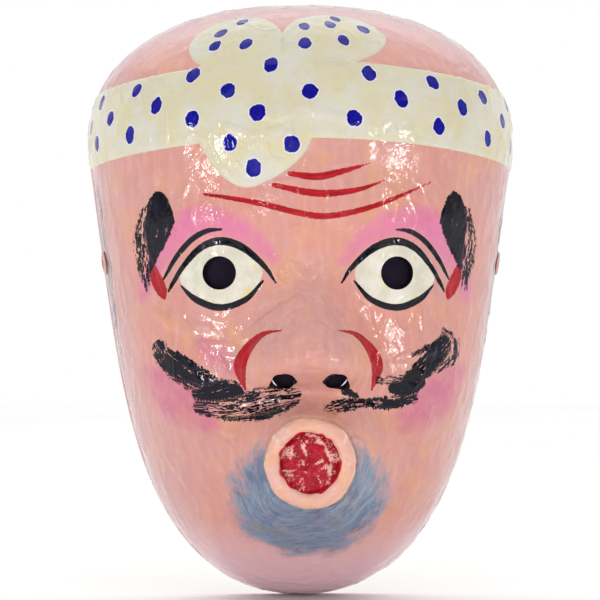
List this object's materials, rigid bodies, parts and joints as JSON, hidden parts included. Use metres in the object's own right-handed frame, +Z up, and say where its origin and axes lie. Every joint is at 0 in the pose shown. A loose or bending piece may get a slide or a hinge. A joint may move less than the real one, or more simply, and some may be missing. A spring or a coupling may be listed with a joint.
{
  "type": "papier-mache face mask",
  "caption": "Comic festival face mask of painted, varnished paper pulp with pierced round eyes, a spout-like puckered mouth and a knotted polka-dot headband, hollow at the back",
  "frame": {"origin": "middle of the flat back of the edge strip, at the crown", "axes": "+Z up to the crown, +Y out of the hollow back, -Y the way the face looks, +X to the viewer's right"},
  "size_m": [0.1674, 0.0988, 0.2298],
  "materials": {
    "painted_pulp": "gloss",
    "lip_paint": "gloss",
    "red_paint": "gloss",
    "headband_paint": "gloss",
    "edge_paper": "gloss",
    "lining_paper": "matte",
    "black_gauze": "matte",
    "eyelet_brass": "satin"
  },
  "bodies": {
    "root": {"face_shell": "painted_pulp", "mouth_ring": "lip_paint", "mouth_disc": "red_paint", "headband_left": "headband_paint", "headband_right": "headband_paint", "headband_knot": "headband_paint", "knot_ear_left": "headband_paint", "knot_ear_right": "headband_paint", "rim_binding_crown": "edge_paper", "rim_binding_left": "edge_paper", "rim_binding_chin": "edge_paper", "rim_binding_right": "edge_paper", "lining_crown": "lining_paper", "lining_left_cheek": "lining_paper", "lining_right_cheek": "lining_paper", "lining_chin": "lining_paper", "eye_gauze_left": "black_gauze", "eye_gauze_right": "black_gauze", "nostril_gauze": "black_gauze", "cord_patch_left": "lining_paper", "cord_patch_right": "lining_paper", "cord_eyelet_left": "eyelet_brass", "cord_eyelet_right": "eyelet_brass"}
  },
  "joints": []
}
